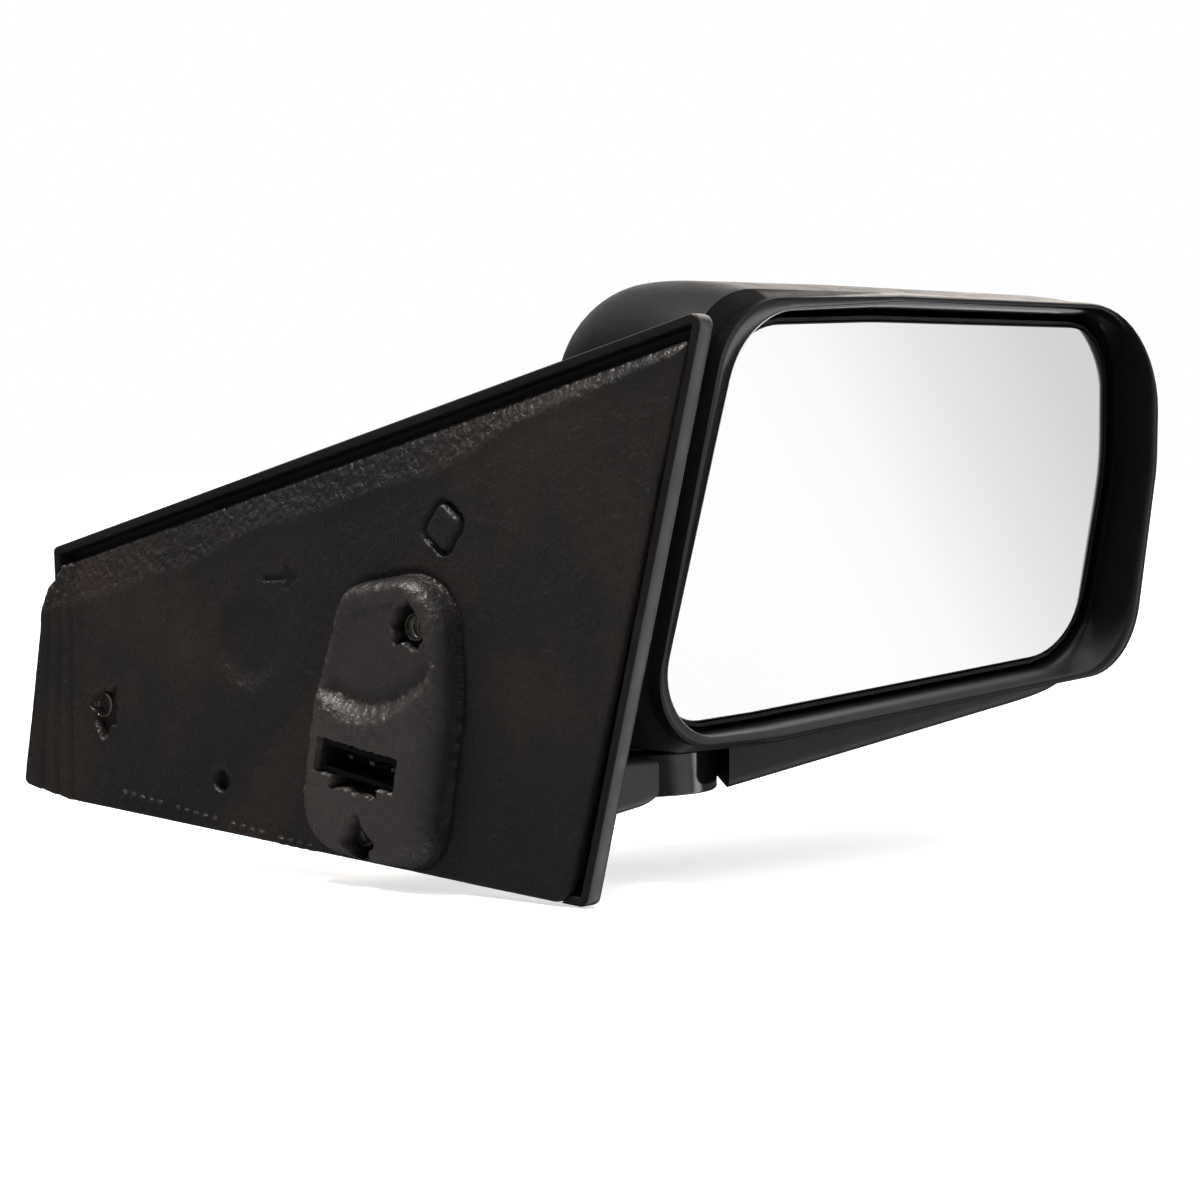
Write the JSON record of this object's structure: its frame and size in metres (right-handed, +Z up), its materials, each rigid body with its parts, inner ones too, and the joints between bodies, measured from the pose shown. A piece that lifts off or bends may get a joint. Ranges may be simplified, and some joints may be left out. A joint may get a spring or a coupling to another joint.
{
  "type": "car side mirror",
  "caption": "Power door mirror, right-hand: triangular base with foam gasket, folding head on a neck, and a glass that pans and tilts.",
  "frame": {"origin": "on the flat inboard face of the foam gasket, between the three fixings", "axes": "+X outboard from the car (right-hand side), +Y towards the nose of the car, +Z up"},
  "size_m": [0.2358, 0.2251, 0.1458],
  "materials": {
    "cover_plastic": "satin black moulded plastic",
    "gasket_foam": "moulded foam with a leathery skin",
    "cast_zinc": "as cast",
    "plated_steel": "zinc plated",
    "spring_steel": "oiled wire",
    "brass": "turned",
    "gloss_black": "glossy black",
    "shell_plastic": "fine-textured black plastic",
    "lip_plastic": "satin black lip, glossy inside",
    "inner_black": "plain black plastic",
    "frame_plastic": "glass-filled grey plastic",
    "natural_nylon": "natural nylon",
    "white_acetal": "white acetal",
    "adhesive_foam": "double-sided foam",
    "mirror_glass": "silvered glass",
    "wire_sleeve": "taped wire bundle"
  },
  "bodies": {
    "base": {"sail_cover": "cover_plastic", "foam_gasket": "gasket_foam", "base_bracket": "cast_zinc", "threaded_insert_1": "plated_steel", "threaded_insert_2": "plated_steel", "threaded_insert_3": "plated_steel", "connector_housing": "inner_black", "connector_terminal_1": "plated_steel", "connector_terminal_2": "plated_steel", "connector_terminal_3": "plated_steel", "cover_screw_1": "plated_steel", "cover_screw_2": "plated_steel", "cover_screw_3": "plated_steel", "pivot_column": "gloss_black", "pivot_post": "plated_steel", "detent_ring": "plated_steel", "spring_washer": "plated_steel", "pivot_retainer": "plated_steel", "base_harness": "wire_sleeve"},
    "head": {"mirror_shell": "shell_plastic", "bezel": "lip_plastic", "head_frame": "frame_plastic", "detent_cup": "frame_plastic", "pivot_spring": "spring_steel", "actuator_case_front": "inner_black", "actuator_case_back": "inner_black", "pan_motor": "plated_steel", "tilt_motor": "plated_steel", "actuator_screw_1": "plated_steel", "actuator_screw_2": "plated_steel", "actuator_screw_3": "plated_steel", "shell_screw_1": "plated_steel", "shell_screw_2": "plated_steel", "shell_screw_3": "plated_steel", "pan_pin_upper": "plated_steel", "pan_pin_lower": "plated_steel", "head_harness": "wire_sleeve", "actuator_plug": "frame_plastic"},
    "gimbal": {"gimbal_ring": "frame_plastic", "tilt_pin_inner": "plated_steel", "tilt_pin_outer": "plated_steel"},
    "glass": {"mirror_glass": "mirror_glass", "adhesive_pad": "adhesive_foam", "glass_holder": "inner_black"},
    "pan_nut": {"pan_jack_gear": "natural_nylon"},
    "tilt_nut": {"tilt_jack_gear": "natural_nylon"},
    "pan_jack": {"pan_jack_screw": "white_acetal"},
    "tilt_jack": {"tilt_jack_screw": "white_acetal"},
    "pan_worm_shaft": {"pan_worm": "brass"},
    "tilt_worm_shaft": {"tilt_worm": "brass"}
  },
  "joints": [
    {"name": "head_fold", "type": "hinge", "parent": "base", "child": "head", "pos_m": [0.0627, -0.054, 0], "axis": [0, 0, 1], "range_deg": [-56, 50]},
    {"name": "glass_pan", "type": "hinge", "parent": "head", "child": "gimbal", "pos_m": [0.12484, -0.08359, 0.05], "axis": [0, 0, 1], "range_deg": [-7, 7]},
    {"name": "glass_tilt", "type": "hinge", "parent": "gimbal", "child": "glass", "pos_m": [0.12484, -0.08359, 0.05], "axis": [0.9877, -0.1564, 0], "range_deg": [-6, 6]},
    {"name": "pan_jack_slide", "type": "slide", "parent": "head", "child": "pan_jack", "axis": [0.1564, 0.9877, 0], "range_m": [-0.0036, 0.0036]},
    {"name": "tilt_jack_slide", "type": "slide", "parent": "head", "child": "tilt_jack", "axis": [0.1564, 0.9877, 0], "range_m": [-0.0027, 0.0027]},
    {"name": "pan_nut_turn", "type": "hinge", "parent": "head", "child": "pan_nut", "pos_m": [0.1557, -0.06772, 0.05], "axis": [0.1564, 0.9877, 0], "range_deg": [-320, 320]},
    {"name": "tilt_nut_turn", "type": "hinge", "parent": "head", "child": "tilt_nut", "pos_m": [0.12804, -0.06334, 0.074], "axis": [0.1564, 0.9877, 0], "range_deg": [-240, 240]},
    {"name": "pan_worm_turn", "type": "hinge", "parent": "head", "child": "pan_worm_shaft", "pos_m": [0.1557, -0.06772, 0.0373], "axis": [0.9877, -0.1564, 0], "range_deg": [-6400, 6400]},
    {"name": "tilt_worm_turn", "type": "hinge", "parent": "head", "child": "tilt_worm_shaft", "pos_m": [0.1155, -0.06135, 0.074], "axis": [0, 0, 1], "range_deg": [-4800, 4800]}
  ],
  "couplings": [
    {"joint": "pan_jack_slide", "follows": "glass_pan", "m_per_rad": 0.028},
    {"joint": "tilt_jack_slide", "follows": "glass_tilt", "m_per_rad": -0.024},
    {"joint": "pan_nut_turn", "follows": "glass_pan", "ratio": 43.982},
    {"joint": "tilt_nut_turn", "follows": "glass_tilt", "ratio": -37.699},
    {"joint": "pan_worm_turn", "follows": "glass_pan", "ratio": 879.65},
    {"joint": "tilt_worm_turn", "follows": "glass_tilt", "ratio": -753.98}
  ]
}
